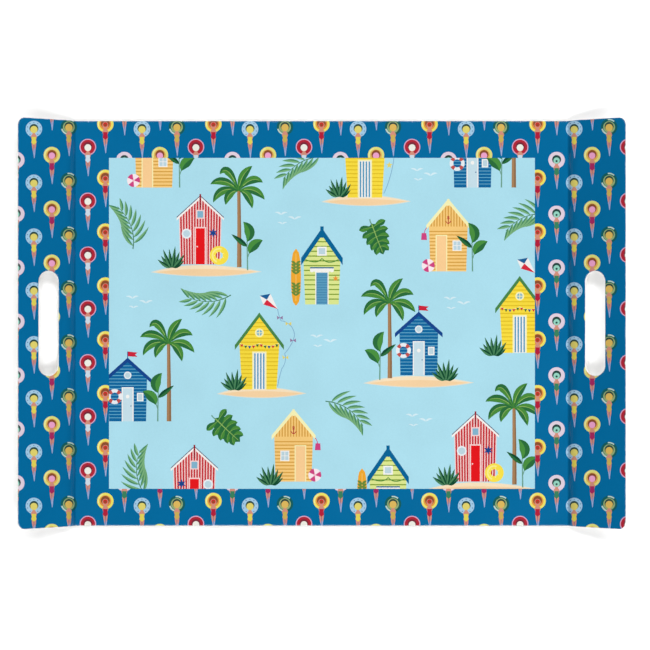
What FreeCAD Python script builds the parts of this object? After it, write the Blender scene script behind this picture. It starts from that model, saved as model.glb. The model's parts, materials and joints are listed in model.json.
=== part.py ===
import FreeCAD, Part

import math
import os

# A moulded melamine serving tray: one bent sheet with a flat base, a raised wing with a hand slot
# at each end, and a foot ring underneath. Its top face carries a printed border foil, a printed
# centre foil let into it, and a clear glaze over both.
#
# Millimetres. X runs along the length, Y across the width, Z up. The origin is in the plane that
# the tray stands on, under its middle. A depth is measured square to the top face, downwards.

# The sheet
FACE_LENGTH = 504.8  # top face in plan, from rim to rim
TRAY_WIDTH = 343.0
RIM_HEIGHT = 38.0  # top face at the rim of a wing
WALL = 3.5
WING_REACH = 44.0  # crease to rim, in plan
RISER_ANGLE = 62.0  # slope of a wing where it leaves the base
CREASE_RADIUS = 2.0  # inside the crease, on the top face
SHOULDER_RADIUS = 20.0  # where the riser turns over into the straight part of the wing
CORNER_RADIUS = 6.5
TOP_EDGE_RADIUS = 1.0
UNDER_EDGE_RADIUS = 1.4

# The hand slots, measured in the plane of the wing
SLOT_LENGTH = 88.0
SLOT_WIDTH = 18.0
SLOT_INSET = 1.5  # how far a slot sits inwards from the middle of the wing, in plan

# The foot ring
FOOT_HEIGHT = 2.5
FOOT_THICKNESS = 4.5
FOOT_TO_CREASE = 16.0
FOOT_TO_SIDE = 18.0
FOOT_CORNER_RADIUS = 24.0
FOOT_EDGE_RADIUS = 1.0

# The layers over the moulding
GLAZE = 0.25
FOIL = 0.25
PANEL_TO_CREASE = 28.1  # blue border beside the centre panel
PANEL_TO_SIDE = 31.4  # blue border above and below the centre panel

OVERRUN = 1.0  # how far a cutting shape runs past what it cuts

# What follows from them
BASE_TOP = FOOT_HEIGHT + WALL
CREASE_X = FACE_LENGTH / 2 - WING_REACH
PRINT_DEPTH = GLAZE + FOIL
RISER = math.radians(RISER_ANGLE)
BEND_START_X = CREASE_X - CREASE_RADIUS * math.tan(RISER / 2)


def point(x, z, y=0.0):
    return FreeCAD.Vector(x, y, z)


def along(angle):
    """Unit vector in the XZ plane that climbs at this angle."""
    return point(math.cos(angle), math.sin(angle))


def below(angle):
    """Unit vector square to a face that climbs at this angle, pointing under it."""
    return point(math.sin(angle), -math.cos(angle))


# The section of the right-hand wing: a bend, a shoulder and a straight run up to the rim.
BEND_CENTRE = point(BEND_START_X, BASE_TOP + CREASE_RADIUS)
RISER_START = BEND_CENTRE + below(RISER) * CREASE_RADIUS
SHOULDER_CENTRE = RISER_START + below(RISER) * SHOULDER_RADIUS
RIM = point(FACE_LENGTH / 2, RIM_HEIGHT)
TO_RIM = RIM - SHOULDER_CENTRE
STRAIGHT = math.sqrt(TO_RIM.Length**2 - SHOULDER_RADIUS**2)
WING = math.atan2(TO_RIM.z, TO_RIM.x) - math.atan2(SHOULDER_RADIUS, STRAIGHT)


def mirrored(vector, side):
    return FreeCAD.Vector(side * vector.x, vector.y, vector.z)


def wing_edges(depth, overrun, side):
    """The section of one wing at a depth, from the base out to the rim."""
    bend = CREASE_RADIUS + depth
    shoulder = SHOULDER_RADIUS - depth
    mid_shoulder = (RISER + WING) / 2
    points = [
        BEND_CENTRE + below(0.0) * bend,
        BEND_CENTRE + below(RISER / 2) * bend,
        BEND_CENTRE + below(RISER) * bend,
        SHOULDER_CENTRE - below(mid_shoulder) * shoulder,
        SHOULDER_CENTRE - below(WING) * shoulder,
        RIM + below(WING) * depth + along(WING) * overrun,
    ]
    p = [mirrored(corner, side) for corner in points]
    return [
        Part.Arc(p[0], p[1], p[2]).toShape(),
        Part.Arc(p[2], p[3], p[4]).toShape(),
        Part.makeLine(p[4], p[5]),
    ]


def face_edges(depth, overrun):
    """The section of the whole top face at a depth, and its two ends."""
    right = wing_edges(depth, overrun, 1)
    left = wing_edges(depth, overrun, -1)
    base = Part.makeLine(left[0].firstVertex().Point, right[0].firstVertex().Point)
    ends = [left[-1].lastVertex().Point, right[-1].lastVertex().Point]
    return left + [base] + right, ends


def layer(top, bottom, overrun=0.0):
    """The bent sheet between two depths, running on past the rims and sides by the overrun."""
    upper, upper_ends = face_edges(top, overrun)
    lower, lower_ends = face_edges(bottom, overrun)
    caps = [Part.makeLine(a, b) for a, b in zip(upper_ends, lower_ends)]
    section = Part.Face(Part.Wire(Part.sortEdges(upper + lower + caps)[0]))
    half_width = TRAY_WIDTH / 2 + overrun
    section.translate(FreeCAD.Vector(0, -half_width, 0))
    return section.extrude(FreeCAD.Vector(0, 2 * half_width, 0))


def stadium(length, width, height):
    """A vertical round-ended bar, its length along Y, centred on the origin."""
    radius = width / 2
    reach = length / 2 - radius
    bottom_z = -height / 2
    corners = [point(x, bottom_z, y) for x, y in
               ((radius, -reach), (radius, reach), (-radius, reach), (-radius, -reach))]
    far_tip = point(0, bottom_z, reach + radius)
    near_tip = point(0, bottom_z, -reach - radius)
    outline = Part.Wire([
        Part.makeLine(corners[0], corners[1]),
        Part.Arc(corners[1], far_tip, corners[2]).toShape(),
        Part.makeLine(corners[2], corners[3]),
        Part.Arc(corners[3], near_tip, corners[0]).toShape(),
    ])
    return Part.Face(outline).extrude(point(0, height))


def slot_cutter(side):
    """The hand slot of one wing, square to the wing and a little inwards from its middle."""
    cutter = stadium(SLOT_LENGTH, SLOT_WIDTH, 2 * WALL + 2 * OVERRUN)
    cutter.rotate(point(0, 0), FreeCAD.Vector(0, 1, 0), -side * math.degrees(WING))
    centre = RIM - along(WING) * ((WING_REACH / 2 + SLOT_INSET) / math.cos(WING))
    cutter.translate(mirrored(centre, side))
    return cutter


def normal_at_middle(face):
    u_low, u_high, v_low, v_high = face.ParameterRange
    return face.normalAt((u_low + u_high) / 2, (v_low + v_high) / 2)


def is_skin(face):
    """True for the faces of the sheet's upper and lower sides, not for its edges or slot walls."""
    normal = normal_at_middle(face)
    end_on = max(abs(normal.dot(mirrored(along(WING), side))) for side in (1, -1))
    return abs(normal.y) < 1e-6 and end_on < 0.999


def rim_edges(solid, upper):
    """The edges where the upper or lower skin meets the sheet's own edge or a slot wall."""
    found = []
    for edge in solid.Edges:
        skins = [face for face in solid.ancestorsOfType(edge, Part.Face) if is_skin(face)]
        if len(skins) == 1 and (normal_at_middle(skins[0]).z > 0) == upper:
            found.append(edge)
    return found


def corner_edges(solid):
    """The four short edges at the ends of the wings, square to the wing."""
    found = []
    for edge in solid.Edges:
        skins = [face for face in solid.ancestorsOfType(edge, Part.Face) if is_skin(face)]
        if not skins:
            found.append(edge)
    return found


def blank():
    """The whole sheet through all its layers, trimmed, slotted and with its edges rounded."""
    sheet = layer(0.0, WALL)
    sheet = sheet.makeFillet(CORNER_RADIUS, corner_edges(sheet))
    for side in (1, -1):
        sheet = sheet.cut(slot_cutter(side))
    sheet = sheet.makeFillet(TOP_EDGE_RADIUS, rim_edges(sheet, upper=True))
    return sheet.makeFillet(UNDER_EDGE_RADIUS, rim_edges(sheet, upper=False))


def rounded_box(length, width, height, radius):
    """A box on the floor, centred, with its four upright edges rounded."""
    box = Part.makeBox(length, width, height, point(-length / 2, 0, -width / 2))
    upright = [edge for edge in box.Edges if abs(edge.tangentAt(edge.FirstParameter).z) > 0.5]
    return box.makeFillet(radius, upright)


def foot_ring():
    """The ring moulded under the base, let into it by the overrun so that the two fuse."""
    length = 2 * (CREASE_X - FOOT_TO_CREASE)
    width = TRAY_WIDTH - 2 * FOOT_TO_SIDE
    height = FOOT_HEIGHT + OVERRUN
    ring = rounded_box(length, width, height, FOOT_CORNER_RADIUS).cut(rounded_box(
        length - 2 * FOOT_THICKNESS,
        width - 2 * FOOT_THICKNESS,
        height,
        FOOT_CORNER_RADIUS - FOOT_THICKNESS,
    ))
    treads = [edge for edge in ring.Edges if edge.BoundBox.ZMax < FOOT_HEIGHT / 2]
    return ring.makeFillet(FOOT_EDGE_RADIUS, treads)


def panel_block():
    """A block over the centre panel, through every layer of the base."""
    length = 2 * (CREASE_X - PANEL_TO_CREASE)
    width = TRAY_WIDTH - 2 * PANEL_TO_SIDE
    return Part.makeBox(length, width, RIM_HEIGHT, point(-length / 2, 0, -width / 2))


def tray_body(sheet):
    moulding = sheet.common(layer(PRINT_DEPTH, WALL + OVERRUN, OVERRUN))
    return moulding.fuse(foot_ring()).removeSplitter()


def print_layer(sheet):
    return sheet.common(layer(GLAZE, PRINT_DEPTH, OVERRUN))


def clear_glaze(sheet):
    return sheet.common(layer(-OVERRUN, GLAZE, OVERRUN))


def main():
    sheet = blank()
    foil = print_layer(sheet)
    panel = panel_block()
    parts = {
        "tray_body": tray_body(sheet),
        "border_print_foil": foil.cut(panel),
        "centre_print_foil": foil.common(panel),
        "clear_glaze": clear_glaze(sheet),
    }
    os.makedirs("parts", exist_ok=True)
    for name, shape in parts.items():
        shape.exportStep(f"parts/{name}.step")
        box = shape.BoundBox
        print(name, len(shape.Solids), shape.isValid(), round(shape.Volume),
              [round(v, 2) for v in (box.XMin, box.YMin, box.ZMin, box.XMax, box.YMax, box.ZMax)])


main()
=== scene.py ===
import json
from math import acos, asin, atan2, copysign, cos, hypot, log, pi, radians, sin, sqrt, tan

import bpy
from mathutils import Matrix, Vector
from mathutils.geometry import delaunay_2d_cdt


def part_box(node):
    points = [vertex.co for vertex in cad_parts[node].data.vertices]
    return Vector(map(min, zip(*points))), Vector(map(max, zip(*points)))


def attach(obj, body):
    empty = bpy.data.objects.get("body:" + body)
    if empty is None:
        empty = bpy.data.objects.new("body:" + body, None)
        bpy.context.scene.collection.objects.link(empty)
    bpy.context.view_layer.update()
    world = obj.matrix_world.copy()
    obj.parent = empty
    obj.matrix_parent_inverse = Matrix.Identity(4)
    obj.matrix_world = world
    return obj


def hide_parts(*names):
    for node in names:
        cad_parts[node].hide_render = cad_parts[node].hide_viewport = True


# The looks of a melamine serving tray seen from straight above. The two printed foils become two
# thin sheets whose faces are cut along the outlines of the printed drawing, one ink per face. The
# clear glaze over them is the coat on every ink. The white moulding keeps its CAD shape.
#
# Lengths are in millimetres until a mesh is made, which is when they turn into metres.

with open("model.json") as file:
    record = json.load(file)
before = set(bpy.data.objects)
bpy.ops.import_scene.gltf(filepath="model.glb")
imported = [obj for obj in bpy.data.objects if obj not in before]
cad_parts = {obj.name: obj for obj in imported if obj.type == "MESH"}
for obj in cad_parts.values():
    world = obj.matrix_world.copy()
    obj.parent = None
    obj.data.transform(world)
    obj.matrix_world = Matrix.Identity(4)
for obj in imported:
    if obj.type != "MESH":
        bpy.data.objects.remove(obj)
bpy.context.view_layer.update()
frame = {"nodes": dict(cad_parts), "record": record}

MM = 0.001

# Read from the frame
BODY_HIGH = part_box("tray_body")[1] / MM
PANEL_LOW, PANEL_HIGH = [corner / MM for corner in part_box("centre_print_foil")]
SERVING_FACE = [mount for mount in frame["record"]["mounts"] if mount["name"] == "serving_face"][0]

HALF_WIDTH = BODY_HIGH.y
PANEL_X = PANEL_HIGH.x
PANEL_Y = PANEL_HIGH.y
BASE_TOP = SERVING_FACE["pos_m"][2] / MM
PRINT_DEPTH = BASE_TOP - PANEL_LOW.z

# The section of a wing, as in the CAD
FACE_LENGTH = 504.8
WING_REACH = 44.0
RIM_HEIGHT = 38.0
RISER = radians(62.0)
CREASE_RADIUS = 2.0
SHOULDER_RADIUS = 20.0
CORNER_RADIUS = 6.5
EDGE_RADIUS = 1.0
SLOT_LENGTH = 88.0
SLOT_WIDTH = 18.0
SLOT_INSET = 1.5

# The camera looks straight down from here, in metres, a few millimetres off the middle
CAMERA_PLACE = (0.0026, -0.0014, 1.7)
CAMERA_LENS = 110.8
CAMERA_FILM = 36.0

# Steps in the curved parts
CREASE_STEPS = 8
SHOULDER_STEPS = 10
EDGE_STEPS = 3
CORNER_STEPS = 12

MERGE = 0.0005  # vertices nearer than this are one vertex


# ---------------- the sheet

def along(angle):
    """Unit vector in the XZ plane that climbs at this angle."""
    return Vector((cos(angle), 0.0, sin(angle)))


def below(angle):
    """Unit vector square to a face that climbs at this angle, pointing under it."""
    return Vector((sin(angle), 0.0, -cos(angle)))


BEND_X = FACE_LENGTH / 2 - WING_REACH - CREASE_RADIUS * tan(RISER / 2)
BEND_CENTRE = Vector((BEND_X, 0.0, BASE_TOP + CREASE_RADIUS))
RISER_START = BEND_CENTRE + below(RISER) * CREASE_RADIUS
SHOULDER_CENTRE = RISER_START + below(RISER) * SHOULDER_RADIUS
RIM = Vector((FACE_LENGTH / 2, 0.0, RIM_HEIGHT))
TO_RIM = RIM - SHOULDER_CENTRE
STRAIGHT = sqrt(TO_RIM.length_squared - SHOULDER_RADIUS**2)
WING = atan2(TO_RIM.z, TO_RIM.x) - atan2(SHOULDER_RADIUS, STRAIGHT)
WING_START = SHOULDER_CENTRE - below(WING) * SHOULDER_RADIUS

# Distances along the section, from the middle of the tray
RUN_TO_RISER = BEND_X + CREASE_RADIUS * RISER
RUN_TO_WING = RUN_TO_RISER + SHOULDER_RADIUS * (RISER - WING)
RUN_TO_RIM = RUN_TO_WING + STRAIGHT
RUN_TO_SLOT = RUN_TO_RIM - (WING_REACH / 2 + SLOT_INSET) / cos(WING)
SLOT_REACH = SLOT_LENGTH / 2 - SLOT_WIDTH / 2

# How far the print runs over the rounded top edge before it ends
WRAP = EDGE_RADIUS * acos(1 - PRINT_DEPTH / EDGE_RADIUS)


def run_at(x):
    """The distance along the section of the point of the top face that lies at x in plan."""
    reach = abs(x)
    if reach <= BEND_X:
        run = reach
    elif reach <= RISER_START.x:
        run = BEND_X + CREASE_RADIUS * asin((reach - BEND_X) / CREASE_RADIUS)
    elif reach <= WING_START.x:
        slope = asin((SHOULDER_CENTRE.x - reach) / SHOULDER_RADIUS)
        run = RUN_TO_RISER + SHOULDER_RADIUS * (RISER - slope)
    else:
        run = RUN_TO_WING + (reach - WING_START.x) / cos(WING)
    return copysign(run, x)


def section_at(run):
    """The point of the top face at a distance along the section, and the slope there."""
    reach = abs(run)
    if reach <= BEND_X:
        place, slope = Vector((reach, 0.0, BASE_TOP)), 0.0
    elif reach <= RUN_TO_RISER:
        slope = (reach - BEND_X) / CREASE_RADIUS
        place = BEND_CENTRE + below(slope) * CREASE_RADIUS
    elif reach <= RUN_TO_WING:
        slope = RISER - (reach - RUN_TO_RISER) / SHOULDER_RADIUS
        place = SHOULDER_CENTRE - below(slope) * SHOULDER_RADIUS
    else:
        slope = WING
        place = WING_START + along(WING) * (reach - RUN_TO_WING)
    return place, slope


def past_outline(run, y):
    """How far a flattened point lies past the flat of the face, and the way outwards there."""
    over_run = abs(run) - (RUN_TO_RIM - CORNER_RADIUS)
    over_y = abs(y) - (HALF_WIDTH - CORNER_RADIUS)
    if over_run > 0 and over_y > 0:
        reach = hypot(over_run, over_y)
        way = (over_run / reach, over_y / reach)
    elif over_run > over_y:
        reach, way = over_run, (1.0, 0.0)
    else:
        reach, way = over_y, (0.0, 1.0)
    outwards = (copysign(way[0], run), copysign(way[1], y))
    return reach - (CORNER_RADIUS - EDGE_RADIUS), outwards


def past_slot(run, y):
    """The same for the edge of the nearer hand slot."""
    over_run = abs(run) - RUN_TO_SLOT
    over_y = max(abs(y) - SLOT_REACH, 0.0)
    reach = hypot(over_run, over_y)
    way = (copysign(over_run / reach, over_run * run), copysign(over_y / reach, y))
    return SLOT_WIDTH / 2 + EDGE_RADIUS - reach, (-way[0], -way[1])


def edge_distance(run, y):
    return max(past_outline(run, y), past_slot(run, y))


def on_sheet(run, y, depth=0.0):
    """A flattened point, its distances along the print, put on the sheet: place and normal."""
    past, outwards = edge_distance(run, y)
    if past > 0:
        turn = min(past, WRAP) / EDGE_RADIUS
        shift = EDGE_RADIUS * sin(turn) - past
        run += outwards[0] * shift
        y += outwards[1] * shift
        depth += EDGE_RADIUS * (1 - cos(turn))
    else:
        turn = 0.0
    place, slope = section_at(run)
    place = place + below(slope) * depth
    side = copysign(1.0, run)
    normal = -below(slope) * cos(turn) + along(slope) * (sin(turn) * outwards[0] * side)
    normal.y = sin(turn) * outwards[1]
    return Vector((side * place.x, y, place.z)), Vector((side * normal.x, normal.y, normal.z))


def polar(x, y, reach, angle):
    return x + reach * cos(angle), y + reach * sin(angle)


def rectangle(half_x, half_y):
    return [(-half_x, -half_y), (half_x, -half_y), (half_x, half_y), (-half_x, half_y)]


def rounded_rectangle(half_run, half_y, radius):
    corners = []
    for quarter, (side_run, side_y) in enumerate(((1, 1), (-1, 1), (-1, -1), (1, -1))):
        for step in range(CORNER_STEPS + 1):
            angle = pi / 2 * (quarter + step / CORNER_STEPS)
            centre = (side_run * (half_run - radius), side_y * (half_y - radius))
            corners.append(polar(*centre, radius, angle))
    return corners


def stadium(centre_run, reach, radius):
    steps = 2 * CORNER_STEPS
    ends = []
    for side in (1, -1):
        for step in range(steps + 1):
            angle = pi * (step / steps + (side < 0))
            ends.append(polar(centre_run, side * reach, radius, angle))
    return ends


def outline(past):
    """The loop round the face at this distance past its flat."""
    grown = past - EDGE_RADIUS
    return rounded_rectangle(RUN_TO_RIM + grown, HALF_WIDTH + grown, CORNER_RADIUS + grown)


def slot_outline(side, past):
    return stadium(side * RUN_TO_SLOT, SLOT_REACH, SLOT_WIDTH / 2 + EDGE_RADIUS - past)


def bend_lines():
    """Lines across the sheet wherever its section turns."""
    runs = [BEND_X + CREASE_RADIUS * RISER * k / CREASE_STEPS for k in range(CREASE_STEPS)]
    shoulder = RUN_TO_WING - RUN_TO_RISER
    runs += [RUN_TO_RISER + shoulder * k / SHOULDER_STEPS for k in range(SHOULDER_STEPS + 1)]
    reach = HALF_WIDTH + EDGE_RADIUS
    return [[(side * run, -reach), (side * run, reach)] for run in runs for side in (1, -1)]


# ---------------- print meshes

def signed_area(loop):
    return sum(a[0] * b[1] - b[0] * a[1] for a, b in zip(loop, loop[1:] + loop[:1])) / 2


def anticlockwise(loop, places=None):
    """The loop, of points or of indices into the places, turned the right way round."""
    points = [places[v] for v in loop] if places else loop
    return loop if signed_area(points) > 0 else loop[::-1]


def cut_apart(loops, lines):
    """Triangles between all the loops and lines. Each knows which loops it lies in."""
    places = []
    faces = []
    for loop in loops:
        faces.append(list(range(len(places), len(places) + len(loop))))
        places += [Vector(p) for p in anticlockwise(loop)]
    edges = []
    for line in lines:
        edges += [(len(places) + k, len(places) + k + 1) for k in range(len(line) - 1)]
        places += [Vector(p) for p in line]
    cut = delaunay_2d_cdt(places, edges, faces, 1, MERGE)
    return cut[0], cut[2], cut[5]


def fill_rims(flat, rims):
    """Triangles over the same ground from the rim vertices alone, as indices into flat."""
    rims = [anticlockwise(rim, flat) for rim in rims]
    rims.sort(key=lambda rim: -signed_area([flat[v] for v in rim]))
    order = [v for rim in rims for v in rim]
    faces = []
    for rim in rims:
        start = sum(len(face) for face in faces)
        faces.append(list(range(start, start + len(rim))))
    edges = []
    for line in bend_lines():
        run = line[0][0]
        ends = [k for k, v in enumerate(order)
                if abs(flat[v][0] - run) < MERGE and abs(flat[v][1]) > HALF_WIDTH - EDGE_RADIUS]
        if len(ends) == 2:
            edges.append(tuple(ends))
    cut = delaunay_2d_cdt([flat[v] for v in order], edges, faces, 1, 0.0)
    back = [order[source[0]] for source in cut[3]]
    return [[back[v] for v in face] for face, within in zip(cut[2], cut[5]) if list(within) == [0]]


def boundary_loops(triangles):
    """The loops of edges that belong to one triangle only."""
    sides = {(t[k], t[k - 2]) for t in triangles for k in range(3)}
    follow = {a: b for a, b in sides if (b, a) not in sides}
    loops = []
    while follow:
        start, here = follow.popitem()
        loop = [start]
        while here != start:
            loop.append(here)
            here = follow.pop(here)
        loops.append(loop)
    return loops


def print_piece(name, domain, holes, lines, drawing, ground):
    """A closed thin sheet: inked faces on top, a plain underside, and walls where it is cut."""
    loops = [domain] + [loop for ink, loop in drawing] + holes
    inks = [ground] + [ink for ink, loop in drawing]
    flat, triangles, owners = cut_apart(loops, lines)
    top = []
    top_inks = []
    for triangle, within in zip(triangles, owners):
        if 0 in within and max(within) < len(inks):
            top.append(tuple(triangle))
            top_inks.append(inks[max(within)])

    laid = [on_sheet(*p) for p in flat]
    places = [place for place, normal in laid]
    normals = [normal for place, normal in laid]
    faces = list(top)
    face_inks = list(top_inks)
    corner_normals = [normals[v] for face in top for v in face]

    rims = boundary_loops(top)
    under = {}
    for loop in rims:
        for v in loop:
            if edge_distance(*flat[v])[0] > 0:
                under[v] = v
            else:
                under[v] = len(places)
                places.append(on_sheet(*flat[v], PRINT_DEPTH)[0])
    ink_beside = {}
    for face, ink in zip(top, top_inks):
        for k in range(3):
            ink_beside[face[k], face[k - 2]] = ink
    for loop in rims:
        for a, b in zip(loop, loop[1:] + loop[:1]):
            if under[a] != a:
                wall = (b, a, under[a], under[b])
                edge = (places[b] - places[a]).normalized()
                faces.append(wall)
                face_inks.append(ink_beside[a, b])
                corner_normals += [edge.cross(normals[a])] * 4

    for face in fill_rims(flat, rims):
        faces.append(tuple(under[v] for v in reversed(face)))
        face_inks.append(ground)
        corner_normals += [-on_sheet(*flat[v])[1] for v in reversed(face)]

    rim = [max(0.0, edge_distance(*p)[0]) / WRAP for p in flat]
    rim += [1.0] * (len(places) - len(flat))
    return make_mesh(name, places, faces, face_inks, corner_normals, rim, len(top))


def make_mesh(name, places, faces, face_inks, corner_normals, rim, top_count):
    """The mesh from the vertices its faces use, with inks, normals, rim nearness and its map."""
    used = sorted({v for face in faces for v in face})
    index = {v: k for k, v in enumerate(used)}
    mesh = bpy.data.meshes.new(name)
    corners = [[index[v] for v in face] for face in faces]
    mesh.from_pydata([places[v] * MM for v in used], [], corners)
    names = sorted(set(face_inks))
    for ink in names:
        mesh.materials.append(ink_material(ink))
    slots = {ink: k for k, ink in enumerate(names)}
    mesh.polygons.foreach_set("material_index", [slots[ink] for ink in face_inks])
    mesh.polygons.foreach_set("use_smooth", [True] * len(faces))
    nearness = mesh.attributes.new(RIM_NAME, "FLOAT", "POINT")
    nearness.data.foreach_set("value", [rim[v] for v in used])
    spread = mesh.uv_layers.new(name=MAP_NAME)
    spread.data.foreach_set("uv", map_corners(mesh, top_count))
    mesh.update(calc_edges=True)
    mesh.normals_split_custom_set([n.normalized() for n in corner_normals])
    piece = bpy.data.objects.new(name, mesh)
    bpy.context.scene.collection.objects.link(piece)
    return piece


RIM_NAME = "rim"  # 0 on the face, growing to 1 over the rounded edge
MAP_NAME = "OFBake"
UNDERSIDE_STRIP = 0.03  # share of the map that the underside and the walls are squeezed into
MAP_MARGIN = 0.004


def map_corners(mesh, top_count):
    """The top face spread over the map as seen from above, and the rest in a strip under it."""
    xs = [v.co.x for v in mesh.vertices]
    ys = [v.co.y for v in mesh.vertices]
    low_x, wide = min(xs), max(xs) - min(xs)
    low_y, tall = min(ys), max(ys) - min(ys)
    corners = []
    for face in mesh.polygons:
        on_top = face.index < top_count
        start = UNDERSIDE_STRIP + MAP_MARGIN if on_top else MAP_MARGIN
        height = 1 - MAP_MARGIN - start if on_top else UNDERSIDE_STRIP - 2 * MAP_MARGIN
        for v in face.vertices:
            corners.append(MAP_MARGIN + (1 - 2 * MAP_MARGIN) * (xs[v] - low_x) / wide)
            corners.append(start + height * (ys[v] - low_y) / tall)
    return corners


# ---------------- drawing kit
# A drawing is a list of (ink, outline) in millimetres, each shape over the ones before it.

def placed(drawing, x, y, scale=1.0, turn=0.0, flip=False):
    cosine = scale * cos(radians(turn))
    sine = scale * sin(radians(turn))
    side = -1 if flip else 1
    return [
        (ink, [(x + cosine * side * u - sine * v, y + sine * side * u + cosine * v) for u, v in loop])
        for ink, loop in drawing
    ]


def gathered(*things):
    """Drawings put together, each given with its place, scale, turn and flip."""
    return [piece for drawing, *place in things for piece in placed(drawing, *place)]


def disc(ink, x, y, radius, height=None, steps=24):
    tall = radius if height is None else height
    angles = [2 * pi * k / steps for k in range(steps)]
    return [(ink, [(x + radius * cos(a), y + tall * sin(a)) for a in angles])]


def band(ink, x, y, inner, outer, start, end, steps=12):
    """Part of a ring between two angles in degrees."""
    angles = [radians(start + (end - start) * k / steps) for k in range(steps + 1)]
    rim = [polar(x, y, outer, a) for a in angles]
    back = [polar(x, y, inner, a) for a in reversed(angles)] if inner else [(x, y)]
    return [(ink, rim + back)]


def ring(ink, x, y, inner, outer):
    return band(ink, x, y, inner, outer, 0, 180) + band(ink, x, y, inner, outer, 180, 360)


def box(ink, x, y, width, height):
    """A box by the middle of its lower side."""
    half = width / 2
    return [(ink, [(x - half, y), (x + half, y), (x + half, y + height), (x - half, y + height)])]


def shape(ink, *corners):
    return [(ink, list(corners))]


def even(ink, *right):
    """A shape with both sides alike, by the corners of its right side."""
    return [(ink, [*right, *[(-x, y) for x, y in reversed(right) if x]])]


def curve(a, b, c, steps=12):
    """Points from a to c, drawn towards b."""
    points = []
    for k in range(steps + 1):
        t = k / steps
        near, middle, far = (1 - t) ** 2, 2 * t * (1 - t), t * t
        points.append(tuple(near * p + middle * q + far * r for p, q, r in zip(a, b, c)))
    return points


def sides_of(path, width_at, left=1.0, right=1.0):
    """The two sides of a line whose width changes along it."""
    lefts = []
    rights = []
    last = len(path) - 1
    for k, (x, y) in enumerate(path):
        ahead = path[min(k + 1, last)]
        behind = path[max(k - 1, 0)]
        du, dv = ahead[0] - behind[0], ahead[1] - behind[1]
        half = width_at(k / last) / 2 / hypot(du, dv)
        lefts.append((x - dv * half * left, y + du * half * left))
        rights.append((x + dv * half * right, y - du * half * right))
    return lefts, rights


def stroke(ink, path, start, end=None):
    """A line that goes from one width to another."""
    finish = start if end is None else end
    lefts, rights = sides_of(path, lambda t: start + (finish - start) * t)
    return [(ink, lefts + rights[::-1])]


def blade_width(width, belly):
    """Width along a leaf, widest at the belly, a share of its length from the foot."""
    power = log(0.5) / log(belly)
    return lambda t: width * sin(pi * t**power) ** 0.85 + 0.12


def blade(ink, path, width, belly=0.45, left=1.0, right=1.0):
    lefts, rights = sides_of(path, blade_width(width, belly), left, right)
    return [(ink, lefts + rights[::-1])]


def leaf(dark, light, path, width, belly=0.45, rib=None, rib_width=0.35):
    """A leaf with one lighter half and, if asked for, a midrib."""
    art = blade(dark, path, width, belly)
    art += blade(light, path, width * 0.92, belly, 1.0, 0.06)
    if rib:
        art += stroke(rib, path[:-2], rib_width, rib_width * 0.5)
    return art


def star(ink, x, y, radius, points=5, waist=0.42):
    corners = []
    for k in range(2 * points):
        reach = radius if k % 2 == 0 else radius * waist
        corners.append(polar(x, y, reach, pi * (0.5 + k / points)))
    return [(ink, corners)]


# ---------------- border: bathers in swim rings

RING_RADIUS = 7


def bather(ring_inks, hair, cap, suit, cap_radius=2.7, edge=None, marks=None, crown=None):
    """A bather from above: ring, head and suit, with legs trailing in the water below."""
    outer, inner = ring_inks
    art = shape("water_leg", (-1.7, -14), (1.7, -14), (1.3, -18), (0.6, -24.5), (0.1, -24.8),
                (-0.6, -20))
    art += shape("skin", (-2, -10), (2, -10), (1.8, -14.5), (1, -18), (0.2, -15),
                 (-0.6, -19), (-1.6, -14.5))
    art += stroke("leg_shade", [(0, -12.5), (0.1, -20)], 0.6, 0.3)
    art += ring(edge or outer, 0, 0, 3.3, RING_RADIUS)
    if edge:
        art += ring(outer, 0, 0, 3.3, RING_RADIUS - 0.8)
    art += ring(inner, 0, -0.15, 3, 5)
    if marks:
        art += marks()
    art += disc(hair, 0, 0.45, 3.8, steps=18)
    art += even("skin", (1.7, -9.2), (2.4, -7.2), (2.3, -5.6), (1.1, -4), (1.5, -2.5))
    art += even(suit, (0, -13.4), (2.2, -11.4), (1.7, -9), (1.9, -6.8))
    art += disc("skin", 0, -0.95, 2.65, 2.8, steps=16)
    art += disc(cap, 0, -0.5, cap_radius, steps=16)
    if crown:
        art += disc(crown, 0, -0.9, 0.95, steps=10)
    return art


def dots_on_ring():
    art = []
    for k in range(10):
        art += disc("ring_dot", *polar(0, 0, 5.6, 2 * pi * (k + 0.5) / 10), 0.42, steps=8)
    return art


def arcs_on_ring():
    art = band("ring_white", 0, 0, 5.7, 6.8, 48, 100, 6)
    return art + band("ring_white", 0, 0, 5.5, 6.8, 195, 250, 6)


def highlight_on_ring():
    return band("ring_gleam", 0, 0, 5.6, 6.3, 110, 200, 8)


# One bather of each kind per repeat: where its ring is in plan, and how it is drawn
REPEAT_X = 91.5
REPEAT_Y = 45.6
BATHERS = (
    (-243.9, 164.6, bather(("ring_blue", "ring_blue"), "hair_dark", "cap_yellow", "suit_yellow",
                           cap_radius=3.1, marks=dots_on_ring)),
    (-228.7, 142.5, bather(("ring_lime", "ring_gold"), "hair_brown", "cap_pink", "suit_magenta",
                           marks=highlight_on_ring)),
    (-214.3, 166.3, bather(("ring_green", "ring_green_lit"), "hair_dark", "cap_tan", "suit_tan",
                           cap_radius=3.1, marks=arcs_on_ring)),
    (-198.2, 149.3, bather(("ring_red", "ring_red"), "hair_auburn", "cap_white", "suit_white",
                           cap_radius=2.9, edge="ring_lilac")),
    (-183.4, 168.8, bather(("ring_yellow", "ring_orange"), "hair_brown", "cap_red", "suit_red",
                           cap_radius=1.9, marks=highlight_on_ring, crown="hair_brown")),
    (-167.3, 138.3, bather(("ring_pink", "ring_pink"), "hair_dark", "cap_mint", "suit_green",
                           crown="hair_dark")),
)
BATHER_UP = 7
BATHER_DOWN = 25.5
COLUMNS = range(-1, 7)
ROWS = range(10)
WING_SWELL = 1.02  # how much larger the raised rims can look than the base
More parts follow.
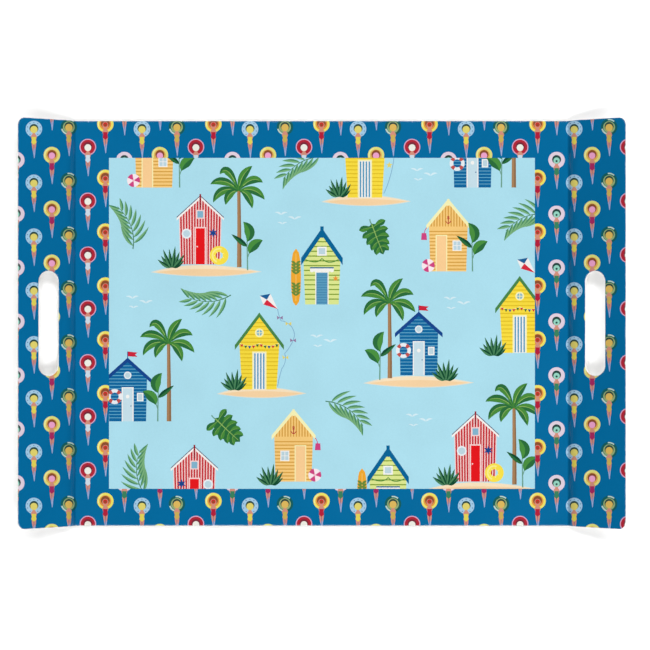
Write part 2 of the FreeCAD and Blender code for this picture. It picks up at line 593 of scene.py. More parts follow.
SIGHT_ROUNDS = 5  # rounds of nearing the point where a line of sight meets the wing


def seen_at(x, y):
    """Where a line of sight through a point of the base plane meets the raised wing, flattened."""
    eye_x, eye_y, eye_z = [ordinate / MM for ordinate in CAMERA_PLACE]
    share = 1
    for again in range(SIGHT_ROUNDS):
        place = section_at(run_at(eye_x + (x - eye_x) * share))[0]
        share = 1 - (place.z - BASE_TOP) / (eye_z - BASE_TOP)
    return run_at(eye_x + (x - eye_x) * share), eye_y + (y - eye_y) * share


def shows_on_border(x, y):
    """Whether a bather here would be on the tray and not wholly under the centre panel."""
    low, high = y - BATHER_DOWN, y + BATHER_UP
    on_tray = abs(x) <= FACE_LENGTH / 2 + 2 * RING_RADIUS
    on_tray = on_tray and low <= WING_SWELL * HALF_WIDTH and high >= -WING_SWELL * HALF_WIDTH
    under_panel = abs(x) + RING_RADIUS < PANEL_X and high < PANEL_Y and low > -PANEL_Y
    return on_tray and not under_panel


def border_drawing():
    """The bathers all over, as evenly spaced to the eye on the wings as on the base."""
    art = []
    for x, y, drawing in BATHERS:
        for column in COLUMNS:
            for row in ROWS:
                place = (x + column * REPEAT_X, y + (1 - row) * REPEAT_Y)
                if shows_on_border(*place):
                    art += placed(drawing, *place)
    return [(ink, [seen_at(x, y) for x, y in loop]) for ink, loop in art]


# ---------------- centre: plants

PALM_FRONDS = (
    # tip of the frond, and the point it bends towards
    ((-24.5, 5.5), (-13, 13)),
    ((-22, -10), (-17, 5)),
    ((-11.5, -12), (-10, 0.5)),
    ((21.5, -7.5), (13.5, 4.5)),
    ((11, -15), (9, -1)),
    ((20, 7), (10.5, 14.5)),
    ((-16.5, 14), (-10, 25)),
    ((11, 21), (0.5, 13.5)),
)


def palm(height):
    """A palm with its foot at the origin."""
    trunk = [(0, 0), (0, height * 0.5), (-0.4, height)]
    art = stroke("trunk", trunk, 3.9, 2.7)
    art += stroke("trunk_shade", [(x + 1, y) for x, y in trunk], 1.3, 0.9)
    for tip, bend in PALM_FRONDS:
        root = (-0.4, height)
        path = curve(root, (bend[0], bend[1] + height), (tip[0], tip[1] + height), 12)
        art += leaf("palm_dark", "palm_mid", path, 6.6, 0.55)
        art += stroke("palm_rib", path[2:-2], 0.6, 0.3)
    return art


def fern(length=42, pairs=8, bend=8):
    """A frond from the origin upwards, its leaflets shorter towards the tip."""
    spine = curve((0, 0), (bend, length * 0.45), (-bend * 0.5, length * 0.9), pairs * 2)
    art = []
    for k in range(1, pairs * 2):
        x, y = spine[k]
        share = k / (pairs * 2)
        ahead = atan2(spine[k][1] - spine[k - 1][1], spine[k][0] - spine[k - 1][0])
        reach = 20 * (1 - 0.5 * share)
        for side in (1, -1):
            if (k + (side < 0)) % 2:
                away = ahead + side * radians(60 - 20 * share)
                tip_away = ahead + side * radians(26 - 8 * share)
                middle = polar(x, y, reach * 0.45, away)
                tip = polar(*middle, reach * 0.6, tip_away)
                art += leaf("fern_dark", "fern_light", curve((x, y), middle, tip, 7), 2.7, 0.45)
    return art + stroke("fern_stem", spine, 0.9, 0.35)


def agave(height=17, leaves=8):
    """A rosette of pointed leaves, the outer ones leaning out and behind the inner ones."""
    art = []
    order = sorted(range(leaves), key=lambda k: (k % 2 == 0, -abs(k - leaves // 2)))
    for k in order:
        lean = radians(-66 + 132 * k / (leaves - 1))
        reach = height * (0.88 + 0.12 * cos(2 * lean)) * (0.86 if k % 2 else 1)
        tip = (reach * 0.98 * sin(lean), reach * cos(lean) + 1.5)
        middle = (reach * 0.5 * sin(lean), reach * 0.36 * cos(lean))
        art += leaf("agave_dark", "agave_light", curve((lean * 1.3, 0), middle, tip, 7), 3.1, 0.42)
    return art


def tall_plant():
    """A bare stem with three broad leaves near its top, foot at the origin."""
    art = stroke("plant_stem", curve((0, 0), (0, 12), (-0.5, 24.5), 6), 1.2, 0.8)
    art += stroke("plant_stem", curve((0.3, 11), (0.8, 13.5), (2, 15.5), 4), 0.8)
    art += leaf("agave_dark", "palm_dark", curve((-0.5, 20), (-5, 24), (-13.6, 30.4), 9), 4.2)
    art += leaf("palm_dark", "plant_leaf", curve((-0.5, 24), (5.5, 33), (-3.6, 41), 9), 8.6, 0.5)
    art += leaf("palm_dark", "plant_leaf", curve((1.5, 14), (3.5, 22.5), (12.8, 25.4), 9), 8.4, 0.5)
    return art


def monstera(length=30):
    """A broad leaf cut into fingers, its stalk at the origin."""
    art = stroke("plant_stem", curve((0, -4), (0.8, -2), (0, 1), 5), 1)
    art += blade("palm_dark", [(0, length * k / 10) for k in range(11)], length * 0.62, 0.42)
    fingers = 5
    for k in range(fingers):
        share = k / (fingers - 1)
        foot = (0, length * (0.12 + 0.62 * share))
        reach = length * (0.44 - 0.19 * share**1.5)
        lean = radians(-14 + 52 * share)
        for side in (1, -1):
            tip = (side * reach * cos(lean), foot[1] + reach * sin(lean) + 0.05 * length)
            bend = (side * reach * 0.55, foot[1] + reach * 0.3 * sin(lean) - 0.035 * length)
            path = curve(foot, bend, tip, 9)
            art += leaf("palm_dark", "palm_mid", path, length * 0.19, 0.62, "palm_rib", 0.3)
    return art + stroke("palm_rib", [(0, 0.5), (0.2, length * 0.5), (0, length * 0.93)], 0.85, 0.4)


# ---------------- centre: things on the beach

def island(width, thickness=9):
    """A low heap of sand by the middle of its top, darker below."""
    art = []
    half = width / 2
    layers = (("sand_edge", 1, 0.75, 0, 1.35), ("sand", 0.93, 0.72, 0.7, 1.22),
              ("sand_shade", 0.9, 0.72, 6.8, 1.22))
    for ink, inset, rise, drop, sink in layers:
        left, right = (-half * inset, -thickness * 0.55), (half * inset, -thickness * 0.5)
        top = curve(left, (-half * 0.2, thickness * rise - drop), right, 14)
        bottom = curve(right, (half * 0.1, -thickness * sink), left, 14)
        art += shape(ink, *top[:-1], *bottom[:-1])
    return art


def swim_ring(radius=8, inner=3):
    art = ring("tube_yellow", 0, 0, inner, radius)
    art += band("tube_light", 0, 0, radius * 0.62, radius * 0.8, 70, 250)
    for k in range(7):
        turn = 20 + k * 360 / 7
        art += band("tube_light", 0, 0, inner, radius * 0.55, turn, turn + 12, 2)
    return art


def life_ring(radius=6.4, inner=3.4):
    art = ring("life_white", 0, 0, inner, radius)
    for k in range(4):
        turn = 28 + k * 90
        art += band("life_red", 0, 0, inner, radius, turn, turn + 34, 4)
    return art


def beach_ball(radius=5.5):
    art = disc("ball_white", 0, 0, radius)
    for start in (-20, 100, 220):
        art += band("magenta", 0, 0, 0, radius, start, start + 55, 6)
    return art + disc("ball_pink", 0, 0, radius * 0.2, steps=10)


def surfboard(length=48, width=8.5):
    """A board standing on its tail at the origin, with two bands of leaves across it."""
    art = []
    path = [(0, length * k / 16) for k in range(17)]
    lefts, rights = sides_of(path, lambda t: 0.5 + (width - 0.5) * sin(pi * t) ** 0.35)
    art += shape("board_orange", *lefts, *rights[::-1])
    art += stroke("board_light", [(0, length * 0.08), (0, length * 0.92)], 0.5)
    for middle in (length * 0.3, length * 0.68):
        for side in (1, -1):
            for lift in (-5, -2.4, 0.2, 2.8):
                root = (0, middle + lift - 1.2)
                tip = (side * width * 0.48, middle + lift + 2.2)
                bend = (side * width * 0.2, middle + lift + 1.8)
                art += blade("board_leaf", curve(root, bend, tip, 5), 2.1)
    return art


def gulls():
    """Three small birds, each two strokes."""
    art = []
    for x, y, size in ((-5.5, 3, 1.2), (6, -1, 1.3), (-4.5, -5, 0.9)):
        for side in (1, -1):
            wing = curve((0, 0), (side * 2.2, 1.9), (side * 4.6, 0.9), 5)
            art += placed(blade("gull", wing, 1.1, 0.35), x, y, size, 8 * side)
    return art


def kite(tail, bows=(6, 14, 24, 34)):
    """A kite by its middle: four quarters, a string and bows along it."""
    left, top, end, low = (-6.7, 3.9), (2.4, 5.6), (8.5, -7.3), (-3.6, -3.6)
    heart = (-0.6, 0.6)
    string = []
    for a, b, c in zip(tail[::2], tail[1::2], tail[2::2]):
        string += curve(a, b, c, 8)[:-1]
    string.append(tail[-1])
    art = stroke("kite_string", string, 0.5)
    for count, k in enumerate(bows):
        if k < len(string) - 1:
            x, y = string[k]
            ink = ("bow", "cap_yellow")[count % 2]
            art += shape(ink, (x, y), (x - 2.5, y + 1.8), (x - 2.2, y - 1.5))
            art += shape(ink, (x, y), (x + 2.4, y + 1.7), (x + 2.5, y - 1.6))
    art += shape("kite_navy", left, top, heart)
    art += shape("kite_white", left, heart, low)
    art += shape("kite_white", top, end, heart)
    return art + shape("kite_red", low, end, heart)


def flag(x, y):
    """A two-tailed flag on a short pole."""
    art = stroke("navy", [(x, y), (x, y + 9)], 0.7)
    art += shape("flag_red", (x + 0.3, y + 9), (x + 8.5, y + 8), (x + 6.3, y + 6.4),
                 (x + 8.3, y + 4.4), (x + 0.3, y + 4.9))
    return art


# ---------------- centre: huts

class Hut:
    """A beach hut with its origin in the middle of its doorstep."""

    def __init__(self, base, eaves, eave, apex, reach):
        self.base = base  # half widths
        self.eaves = eaves
        self.eave = eave  # heights
        self.apex = apex
        self.reach = reach  # half width of the roof

    def half_width(self, y):
        if y < self.eave:
            return self.base + (self.eaves - self.base) * y / self.eave
        return self.eaves * (self.apex - y) / (self.apex - self.eave)

    def roof_over(self, x):
        return self.apex - (self.apex - self.eave) * min(abs(x) / self.eaves, 1)

    def walls(self, ink):
        return even(ink, (self.base, 0), (self.eaves, self.eave), (0, self.apex))

    def upright_boards(self, ink, pitch, share, low=0):
        art = []
        count = int(self.eaves / pitch)
        for k in range(-count, count + 1):
            x = k * pitch
            lean = self.half_width(low) / self.eaves
            left, right = x - pitch * share / 2, x + pitch * share / 2
            art += shape(ink, (left * lean, low), (right * lean, low),
                         (right, self.roof_over(right)), (left, self.roof_over(left)))
        return art

    def level_boards(self, ink, pitch, thickness, low=0, high=None):
        art = []
        top = self.apex if high is None else high
        y = low + pitch
        while y + thickness < top - 1:
            over = y + thickness
            art += even(ink, (self.half_width(y), y), (self.half_width(over), over))
            y += pitch
        return art

    def roof(self, ink, thickness, drop=0):
        """A bar along each slope, its upper edge lowered by the drop."""
        rise = self.apex - self.eave
        slope = hypot(rise, self.eaves) / self.eaves
        foot = self.apex - rise * self.reach / self.eaves
        upper = (thickness + 0.2) * slope - drop * slope
        lower = -drop * slope
        return even(ink, (0, self.apex + lower), (self.reach, foot + lower),
                    (self.reach, foot + upper), (0, self.apex + upper))

    def finial(self, ink, height, width):
        return box(ink, 0, self.apex - 2, width, height + 2)


def door(ink, frame_ink, width, height, border, x=0):
    art = box(frame_ink, x, 0, width + 2 * border, height + border)
    art += box(ink, x, 0, width, height)
    return art


def window(ink, frame_ink, x, y, width, height, border, panes=1):
    art = box(frame_ink, x, y - border, width + 2 * border, height + 2 * border)
    art += box(ink, x, y, width, height)
    if panes > 1:
        art += box(frame_ink, x, y, border * 0.7, height)
        art += box(frame_ink, x, y + height / 2 - border * 0.3, width, border * 0.6)
    return art


def porthole(x, y, radius):
    return disc("life_white", x, y, radius) + disc("pane_pale", x, y, radius * 0.7, steps=18)


def red_hut():
    hut = Hut(17, 18, 39, 55.5, 20)
    art = hut.walls("stripe_pink")
    art += hut.upright_boards("hut_red", 2.35, 0.62)
    art += hut.roof("board_white", 1.5)
    art += hut.roof("slate", 0.5, -1.5)
    art += even("hut_red_dark", (0, 47.5), (0.7, 49), (0.7, 59.5))
    art += window("pane", "stripe_pink", 0, 39.5, 5, 5.6, 0.9)
    art += door("door_red", "stripe_pink", 7.6, 30.5, 1.1)
    art += disc("stripe_pink", -2.6, 15, 0.7, steps=8)
    art += porthole(-11.6, 26, 4.2)
    art += star("navy", 10.9, 26.5, 4.2, 6)
    return art


def lime_hut():
    hut = Hut(14.2, 15.6, 36, 58.5, 17.6)
    art = hut.walls("lime")
    art += hut.level_boards("olive", 4.05, 0.95)
    art += window("pane_pale", "board_white", 0, 42.5, 5.6, 5.2, 1.2)
    art += box("roof_blue", 0, 30.5, 20, 1.1)
    for k in range(6):
        art += disc("board_white", -8.4 + k * 3.36, 28.9, 1.75, 1.7, steps=14)
    art += box("board_white", 0, 28.8, 20, 1.7)
    art += door("door_blue", "board_white", 9.6, 27, 0.8)
    for k in range(12):
        art += box("door_line", 0, 1.6 + k * 2.1, 9.6, 0.45)
    art += star("starfish", 11.6, 22, 2.7)
    art += hut.roof("roof_blue", 3.4)
    art += hut.finial("roof_blue", 7.6, 2.8)
    garland = curve((-14, 38), (-4, 33.5), (0, 39), 9)
    garland += curve((0, 39), (5, 33), (14, 38), 9)[1:]
    return art + stroke("palm_mid", garland, 0.8)


def anchor():
    """A small anchor: ring, shank, stock and arms."""
    art = ring("ring_red", 0, 2.52, 0.36, 0.96)
    art += stroke("ring_red", [(0, 1.8), (0, -3)], 0.66)
    art += stroke("ring_red", [(-1.2, 1.08), (1.2, 1.08)], 0.6)
    return art + stroke("ring_red", curve((-2.28, -0.72), (0, -5.1), (2.28, -0.72), 8), 0.66)


def peach_hut():
    hut = Hut(15.2, 16.4, 38, 57.6, 18.6)
    art = hut.walls("peach")
    art += hut.upright_boards("tan", 2.4, 0.42, 38)
    art += hut.level_boards("tan", 2.9, 0.95, -1.5, 37.5)
    art += door("peach_door", "cream", 8.2, 30, 0.8, -5.8)
    art += window("pane_pale", "board_white", 7.4, 18.2, 6, 7.2, 0.8, 2)
    art += placed(anchor(), 0, 43.5)
    art += hut.roof("cream", 2.3)
    art += hut.finial("cream", 3.6, 2)
    art += stroke("magenta", curve((-18.2, 37), (-20, 35), (-20.5, 32), 4), 0.6)
    art += shape("magenta", (-22.6, 32.4), (-18.6, 32.4), (-18, 26.6), (-23, 26.6))
    return art


def bunting(left, right, y, sag, count):
    line = curve((left, y), ((left + right) / 2, y - 2 * sag), (right, y), count * 2)
    art = stroke("cream", line, 0.4)
    colours = ("flag_red", "palm_dark", "navy")
    for k in range(count):
        x, at = line[2 * k + 1]
        art += shape(colours[k % 3], (x - 1.3, at), (x + 1.3, at), (x, at - 2.6))
    return art


def yellow_hut():
    hut = Hut(14.6, 17, 38.5, 61, 20.8)
    art = hut.walls("yellow")
    art += hut.level_boards("yellow_dark", 3.3, 0.85)
    art += disc("cream", 0, 48, 3.7) + disc("pane", 0, 48, 2.5, steps=18)
    art += stroke("cream", [(-2.5, 48), (2.5, 48)], 0.6)
    art += stroke("cream", [(0, 45.5), (0, 50.5)], 0.6)
    art += door("board_white", "cream", 9.8, 31, 1.1)
    for k in range(4):
        art += box("door_blue", -3.75 + k * 2.5, 0.4, 1.25, 30.2)
    art += bunting(-16.5, 0, 39, 2.2, 5) + bunting(0, 16.5, 39, 2.2, 5)
    return art + hut.roof("roof_green", 2.3)


def blue_hut():
    hut = Hut(15.6, 16.4, 35.5, 50.2, 20.2)
    art = hut.walls("hut_blue")
    art += hut.level_boards("light_blue", 2.75, 0.5)
    art += porthole(0, 39, 3.2)
    art += door("door_pale", "board_white", 8.2, 28, 0.9)
    art += disc("board_white", 0, 21, 1.6, steps=12) + disc("navy", 2.8, 13, 0.5, steps=8)
    art += window("pane_pale", "board_white", 10.6, 18, 3.6, 5.2, 0.9)
    art += hut.roof("navy", 2.6)
    return art + flag(0, 50.2)


# ---------------- centre: the whole panel

def red_scene():
    """The red hut's island, by the middle of the doorstep."""
    return gathered(
        (island(94, 9.5), 5, -1.5),
        (palm(64.8), 33, -2.5),
        (red_hut(), 0, 0),
        (swim_ring(), 16, 7.5),
        (tall_plant(), 40, -5),
        (agave(), -24, -3),
    )


MIRRORED = (1, 0, True)  # scale, turn and flip of a drawing turned left to right
LONG_TAIL = [(8.5, -7.3), (9, -12), (11.5, -17.5), (15, -17), (20, -22), (24.5, -28),
             (21.5, -34), (19, -40), (14.5, -45), (16.5, -52), (12, -58), (9.5, -66),
             (8.5, -73)]
SHORT_TAIL = [(8.5, -7.3), (9, -12), (12, -17)]


def beach_drawing():
    """The five whole scenes."""
    return gathered(
        (red_scene(), -103, 50),
        (lime_hut(), 0, 16),
        (surfboard(), -22, 15),
        (peach_hut(), 107, 44),
        (beach_ball(), 90, 49),
        (tall_plant(), 127.5, 44),
        (island(76, 9), -51, -54.8),
        (yellow_hut(), -53, -56),
        (kite(LONG_TAIL), -46, 19.5),
        (agave(16.5), -74, -56.5),
        (island(94, 9.5), 82, -45.5),
        (palm(63.6), 57.5, -46.5),
        (blue_hut(), 82, -44),
        (life_ring(), 69, -23),
        (tall_plant(), 49, -48, *MIRRORED),
        (agave(), 105, -48.5),
    )


def edge_drawing():
    """The scenes that the edges of the panel cut."""
    return gathered(
        (peach_hut(), -142, 115),
        (beach_ball(), -159.5, 121),
        (tall_plant(), -120.5, 115),
        (island(76, 9), 37.5, 107.8),
        (yellow_hut(), 36.4, 106.5),
        (agave(16), 14.5, 107),
        (stroke("kite_string", curve((4, 6), (2, -10), (-4.5, -24), 8), 0.5), 57, 134),
        (star("cap_yellow", 0, 0, 3, 5), 57, 134),
        (blue_hut(), 127.5, 115),
        (life_ring(), 114.5, 135.5),
        (tall_plant(), 152, 115, *MIRRORED),
        (palm(60), 162.5, 115),
        (yellow_hut(), 167.5, -25),
        (agave(), 145.5, -27.5),
        (kite(SHORT_TAIL), 172, 50),
        (palm(65.8), -129.5, -83),
        (blue_hut(), -164.5, -83),
        (life_ring(), -175.5, -62),
        (tall_plant(), -139, -83, *MIRRORED),
        (peach_hut(), -24, -134, *MIRRORED),
        (beach_ball(), -6, -128.5),
        (agave(), -43.5, -137),
        (red_hut(), -108, -162.3, *MIRRORED),
        (lime_hut(), 56, -169.5),
        (surfboard(), 34, -171),
        (red_scene(), 130, -134),
    )


def centre_drawing():
    """Everything on the panel: leaves and birds over the water, then the beach scenes."""
    leaves = gathered(
        (fern(), -160, 63, 1, 14),
        (fern(), -77, 24, 1, 98, True),
        (fern(), 0, 141, 1, 114),
        (fern(), 191, 92.5, 1, 106),
        (fern(), 3, -66, 1, 243, True),
        (fern(), -150, -145, 1, 12, True),
        (monstera(28), 42, 84.5, 1, 201),
        (monstera(29), -90.5, -80.5, 1, 227),
    )
    flocks = ((-29, 89), (86, 126), (-155, 18), (1, -15), (114, 17), (82, -82))
    birds = gathered(*[(gulls(), x, y) for x, y in flocks])
    return leaves + birds + beach_drawing() + edge_drawing()


# ---------------- materials

# What each ink should look like on the tray, red, green and blue as a screen shows them
INKS = {
    "border_ground": (6, 107, 159), "panel_ground": (175, 225, 240), "skin": (212, 145, 125),
    "leg_shade": (120, 95, 135), "water_leg": (160, 172, 212), "hair_dark": (45, 75, 70),
    "hair_brown": (140, 80, 50), "hair_auburn": (125, 45, 60), "ring_blue": (165, 205, 232),
    "ring_dot": (40, 80, 140), "ring_lime": (225, 222, 125), "ring_gold": (225, 175, 90),
    "ring_gleam": (244, 240, 170), "ring_green": (25, 95, 95), "ring_green_lit": (150, 175, 120),
    "ring_white": (188, 215, 205), "ring_red": (178, 42, 58), "ring_lilac": (222, 170, 200),
    "ring_yellow": (240, 228, 102), "ring_orange": (228, 152, 72), "ring_pink": (228, 210, 224),
    "cap_yellow": (228, 214, 112), "cap_pink": (240, 165, 205), "cap_tan": (222, 185, 95),
    "cap_white": (240, 240, 230), "cap_red": (205, 50, 45), "cap_mint": (150, 215, 195),
    "suit_yellow": (228, 212, 90), "suit_magenta": (165, 45, 95), "suit_tan": (205, 175, 90),
    "suit_white": (205, 220, 232), "suit_red": (180, 35, 60), "suit_green": (60, 130, 95),
    "trunk": (170, 130, 90), "trunk_shade": (140, 105, 75), "palm_dark": (45, 110, 60),
    "palm_mid": (75, 140, 60), "palm_rib": (150, 190, 100), "plant_leaf": (75, 145, 65),
    "plant_stem": (110, 160, 140), "fern_dark": (75, 140, 100), "fern_light": (125, 178, 125),
    "fern_stem": (70, 125, 90), "agave_dark": (20, 75, 50), "agave_light": (75, 132, 90),
    "sand_edge": (232, 226, 208), "sand": (250, 228, 192), "sand_shade": (248, 212, 165),
    "stripe_pink": (248, 212, 210), "hut_red": (198, 48, 55), "hut_red_dark": (150, 35, 45),
    "door_red": (230, 25, 30), "board_white": (248, 246, 242), "slate": (95, 95, 120),
    "pane": (130, 180, 205), "pane_pale": (190, 215, 225), "navy": (25, 70, 140), "lime": (222, 233, 145),
    "olive": (125, 155, 50), "roof_blue": (10, 100, 150), "door_blue": (90, 155, 190),
    "door_line": (60, 125, 165), "door_pale": (200, 225, 235), "starfish": (238, 150, 60),
    "peach": (250, 205, 125), "peach_door": (252, 208, 150), "tan": (215, 160, 70),
    "cream": (250, 245, 185), "yellow": (250, 222, 65), "yellow_dark": (225, 190, 40),
    "roof_green": (75, 135, 75), "hut_blue": (22, 102, 156), "light_blue": (110, 185, 215),
    "magenta": (208, 70, 130), "ball_white": (252, 236, 240), "ball_pink": (245, 190, 205),
    "tube_yellow": (250, 226, 75), "tube_light": (252, 240, 140), "life_white": (235, 240, 244),
    "life_red": (195, 85, 80), "flag_red": (205, 40, 60), "board_orange": (242, 170, 50),
    "board_light": (248, 205, 120), "board_leaf": (110, 140, 60), "gull": (216, 239, 246),
    "kite_navy": (30, 95, 150), "kite_white": (245, 242, 240), "kite_red": (215, 45, 65),
    "kite_string": (120, 160, 195), "bow": (150, 120, 160),
}

INK_GAIN = 0.675  # an ink's own reflectance for the colour wanted, under this light and glaze
WORN_EDGE = (196, 212, 222)  # what shows where the rounded rim is rubbed
MOTTLE = 0.035  # how much an ink's strength varies


def linear(colour, gain=1.0):
    """Screen values to scene reflectance."""
    values = []
    for channel in colour:
        share = channel / 255
        if share <= 0.04045:
            share /= 12.92
        else:
            share = ((share + 0.055) / 1.055) ** 2.4
        values.append(min(share * gain, 1.0))
    return (*values, 1.0)


def strength(colour, factor):
    return (*[min(channel * factor, 1.0) for channel in colour[:3]], 1.0)


class Nodes:
    """The node tree of a new material or world, with short ways to add to it."""

    def __init__(self, owner, output="ShaderNodeOutputMaterial"):
        self.owner = owner
        owner.use_nodes = True
        self.tree = owner.node_tree
        self.tree.nodes.clear()
        self.output = self.add(output)

    def add(self, kind, **settings):
        node = self.tree.nodes.new(kind)
        for key, value in settings.items():
            setattr(node, key, value)
        return node

    def link(self, source, target):
        self.tree.links.new(source, target)

    def places(self):
        return self.add("ShaderNodeTexCoord").outputs["Object"]

    def noise(self, places, scale, detail=3.0, roughness=0.55):
        node = self.add("ShaderNodeTexNoise")
        node.inputs["Scale"].default_value = scale
        node.inputs["Detail"].default_value = detail
        node.inputs["Roughness"].default_value = roughness
        self.link(places, node.inputs["Vector"])
        return node.outputs["Fac"]

    def stretched(self, places, scale):
        node = self.add("ShaderNodeMapping")
        node.inputs["Scale"].default_value = scale
        self.link(places, node.inputs["Vector"])
        return node.outputs["Vector"]

    def ranged(self, value, low, high, to_low=0.0, to_high=1.0):
        node = self.add("ShaderNodeMapRange")
        for socket, number in zip(node.inputs[1:5], (low, high, to_low, to_high)):
            socket.default_value = number
        self.link(value, node.inputs["Value"])
        return node.outputs["Result"]

    def maths(self, operation, a, b):
        node = self.add("ShaderNodeMath", operation=operation)
        for socket, value in zip(node.inputs, (a, b)):
            if isinstance(value, (int, float)):
                socket.default_value = value
            else:
                self.link(value, socket)
        return node.outputs["Value"]

    def mixed(self, factor, a, b):
        """A colour between a and b. Either is a colour or an output."""
        node = self.add("ShaderNodeMix", data_type="RGBA")
        self.link(factor, node.inputs["Factor"])
        for socket, value in ((node.inputs[6], a), (node.inputs[7], b)):
            if isinstance(value, tuple):
                socket.default_value = value
            else:
                self.link(value, socket)
        return node.outputs[2]

    def blend(self, a, b, share):
        """The share of a, and the rest of b."""
        return self.maths("ADD", self.maths("MULTIPLY", a, share), self.maths("MULTIPLY", b, 1 - share))

    def bump(self, height, amount, distance):
        node = self.add("ShaderNodeBump")
        node.inputs["Strength"].default_value = amount
        node.inputs["Distance"].default_value = distance
        self.link(height, node.inputs["Height"])
        return node.outputs["Normal"]

    def principled(self, **values):
        node = self.add("ShaderNodeBsdfPrincipled")
        for name, value in values.items():
            socket = node.inputs[name.replace("_", " ")]
            if isinstance(value, (int, float, tuple)):
                socket.default_value = value
            else:
                self.link(value, socket)
        self.link(node.outputs["BSDF"], self.output.inputs["Surface"])


def ink_material(name):
    """A printed ink under a clear glaze: mottled, with an uneven sheen, and worn pale at the rim."""
    found = bpy.data.materials.get(name)
    if found:
        return found
    n = Nodes(bpy.data.materials.new(name))
    colour = linear(INKS[name], INK_GAIN)
    places = n.places()
    cloud = n.noise(places, 22.0, 2.0)
    grain = n.noise(places, 900.0, 2.0)
    factor = n.ranged(n.blend(cloud, grain, 0.6), 0.36, 0.64)
    ink = n.mixed(factor, strength(colour, 1 - MOTTLE), strength(colour, 1 + MOTTLE))
    rim = n.add("ShaderNodeAttribute", attribute_name=RIM_NAME).outputs["Fac"]
    rubbed = n.ranged(n.noise(places, 240.0, 4.0, 0.65), 0.46, 0.66, 0.0, 0.55)
    worn = n.maths("MULTIPLY", n.ranged(rim, 0.2, 1.0), rubbed)
    ink = n.mixed(worn, ink, linear(WORN_EDGE))
    rough = n.maths("ADD", n.ranged(grain, 0.3, 0.7, 0.42, 0.54), n.maths("MULTIPLY", worn, 0.3))
    smudges = n.noise(places, 14.0, 4.0)
    ripple = n.noise(places, 160.0, 2.0)
    glaze = n.bump(ripple, 0.05, 0.0004)
    n.principled(
        Base_Color=ink,
        Roughness=rough,
        Specular_IOR_Level=0.0,
        Coat_Weight=0.7,
        Coat_IOR=1.46,
        Coat_Roughness=n.ranged(smudges, 0.35, 0.7, 0.06, 0.14),
        Coat_Normal=glaze,
        Normal=glaze,
    )
    return n.owner


def melamine_material():
    """Gloss white melamine: faint clouding, fine scratches, and a foot tread scuffed grey."""
    n = Nodes(bpy.data.materials.new("white_melamine"))
    places = n.places()
    white = linear((247, 247, 245), 0.95)
    warm = linear((243, 241, 236), 0.95)
    cloud = n.ranged(n.noise(places, 16.0, 3.0), 0.35, 0.65)
    body = n.mixed(cloud, white, warm)
    height = n.add("ShaderNodeSeparateXYZ")
    n.link(places, height.inputs["Vector"])
    low = n.ranged(height.outputs["Z"], 0.0001, 0.0009, 1.0, 0.0)
    specks = n.ranged(n.noise(places, 420.0, 4.0, 0.7), 0.42, 0.62)
    scuffs = n.maths("MULTIPLY", low, specks)
    body = n.mixed(scuffs, body, linear((172, 168, 160)))
    streaks = n.noise(n.stretched(places, (60.0, 1400.0, 900.0)), 1.0, 3.0)
    cross = n.noise(n.stretched(places, (1200.0, 50.0, 900.0)), 1.0, 3.0)
    scratches = n.blend(streaks, cross, 0.5)
    worn = n.maths("MULTIPLY", scuffs, 0.4)
    rough = n.maths("ADD", n.ranged(scratches, 0.35, 0.65, 0.16, 0.27), worn)
    n.principled(
        Base_Color=body,
        Roughness=rough,
        Coat_Weight=0.5,
        Coat_Roughness=0.12,
        Normal=n.bump(scratches, 0.06, 0.0002),
    )
    return n.owner


def floor_material():
    """Pale matt floor. From below it is clear, and so it is to the light that comes from below."""
    n = Nodes(bpy.data.materials.new("floor_pale"))
    places = n.places()
    mottle = n.ranged(n.noise(places, 3.0, 4.0), 0.3, 0.7)
    diffuse = n.add("ShaderNodeBsdfDiffuse")
    n.link(n.mixed(mottle, (0.90, 0.90, 0.90, 1.0), (0.92, 0.92, 0.92, 1.0)), diffuse.inputs["Color"])
    clear = n.add("ShaderNodeBsdfTransparent")
    back = n.add("ShaderNodeNewGeometry").outputs["Backfacing"]
    shadow = n.add("ShaderNodeLightPath").outputs["Is Shadow Ray"]
    mix = n.add("ShaderNodeMixShader")
    n.link(n.maths("MAXIMUM", back, shadow), mix.inputs["Fac"])
    n.link(diffuse.outputs["BSDF"], mix.inputs[1])
    n.link(clear.outputs["BSDF"], mix.inputs[2])
    n.link(mix.outputs["Shader"], n.output.inputs["Surface"])
    return n.owner


# ---------------- pieces

def border_piece():
    loops = [outline(WRAP * k / EDGE_STEPS) for k in range(EDGE_STEPS)]
    holes = [rectangle(PANEL_X, PANEL_Y)]
    for side in (1, -1):
        holes.append(slot_outline(side, WRAP))
        loops += [slot_outline(side, WRAP * k / EDGE_STEPS) for k in range(EDGE_STEPS)]
    lines = bend_lines() + [loop + loop[:1] for loop in loops]
    return print_piece("border_print_face", outline(WRAP), holes, lines, border_drawing(), "border_ground")


def centre_piece():
    panel = rectangle(PANEL_X, PANEL_Y)
    return print_piece("centre_print_face", panel, [], [], centre_drawing(), "panel_ground")


def dress_body():
    mesh = frame["nodes"]["tray_body"].data
    mesh.materials.clear()
    mesh.materials.append(melamine_material())


border = border_piece()
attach(border, "root")
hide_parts("border_print_foil", "clear_glaze")

centre = centre_piece()
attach(centre, "root")
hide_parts("centre_print_foil")

dress_body()


# ---------------- floor, light and camera

FLOOR_HALF = 9.0
HORIZON_GLOW = (0.95, 0.95, 0.95, 1.0)
OVERHEAD = (0.012, 0.012, 0.013, 1.0)
HORIZON_HEIGHT = 0.03  # how high the glow reaches, as a share of straight up
BACKDROP = (0.74, 0.75, 0.76, 1.0)
STRIP_X, STRIP_Y, STRIP_Z = 0.3, 1.5, 3.2
STRIP_SIZE = (3.6, 0.8)
STRIP_POWER = 117
LOW_LIGHT_Z = -2.2
LOW_LIGHT_SIZE = (2.6, 2.6)
LOW_LIGHT_POWER = 6


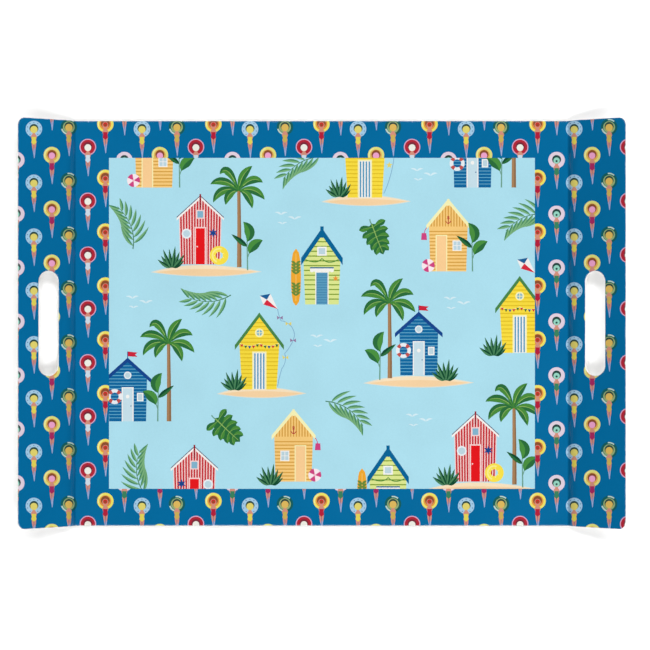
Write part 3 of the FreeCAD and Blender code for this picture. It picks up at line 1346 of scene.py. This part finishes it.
def add_floor():
    mesh = bpy.data.meshes.new("floor")
    mesh.from_pydata([(x, y, 0) for x, y in rectangle(FLOOR_HALF, FLOOR_HALF)], [], [(0, 1, 2, 3)])
    mesh.materials.append(floor_material())
    floor = bpy.data.objects.new("floor", mesh)
    bpy.context.scene.collection.objects.link(floor)


def add_area_light(name, place, size, power):
    """A soft light aimed at the middle of the tray, itself out of sight."""
    lamp = bpy.data.lights.new(name, "AREA")
    lamp.shape = "RECTANGLE"
    lamp.size, lamp.size_y = size
    lamp.energy = power
    holder = bpy.data.objects.new(name, lamp)
    holder.location = place
    holder.visible_camera = False
    holder.rotation_euler = (-Vector(place)).to_track_quat("-Z", "Y").to_euler()
    bpy.context.scene.collection.objects.link(holder)


def add_world():
    """Pale to the eye, but dark overhead to the gloss, which stays clear of white."""
    n = Nodes(bpy.data.worlds.new("studio"), "ShaderNodeOutputWorld")
    height = n.add("ShaderNodeSeparateXYZ")
    n.link(n.add("ShaderNodeTexCoord").outputs["Generated"], height.inputs["Vector"])
    ramp = n.add("ShaderNodeValToRGB")
    n.link(height.outputs["Z"], ramp.inputs["Fac"])
    horizon, overhead = ramp.color_ramp.elements
    horizon.position = 0.0
    horizon.color = HORIZON_GLOW
    overhead.position = HORIZON_HEIGHT
    overhead.color = OVERHEAD
    seen = n.add("ShaderNodeLightPath").outputs["Is Camera Ray"]
    background = n.add("ShaderNodeBackground")
    n.link(n.mixed(seen, ramp.outputs["Color"], BACKDROP), background.inputs["Color"])
    n.link(background.outputs["Background"], n.output.inputs["Surface"])
    bpy.context.scene.world = n.owner


def add_camera():
    lens = bpy.data.cameras.new("camera")
    lens.lens = CAMERA_LENS
    lens.sensor_width = CAMERA_FILM
    lens.clip_end = 50.0
    camera = bpy.data.objects.new("camera", lens)
    camera.location = CAMERA_PLACE
    bpy.context.scene.collection.objects.link(camera)
    bpy.context.scene.camera = camera


add_floor()
add_world()
add_area_light("strip_back", (STRIP_X, STRIP_Y, STRIP_Z), STRIP_SIZE, STRIP_POWER)
add_area_light("strip_front", (STRIP_X, -STRIP_Y, STRIP_Z), STRIP_SIZE, STRIP_POWER)
add_area_light("below", (0.0, 0.0, LOW_LIGHT_Z), LOW_LIGHT_SIZE, LOW_LIGHT_POWER)
add_camera()
bpy.context.scene.view_settings.view_transform = "Standard"
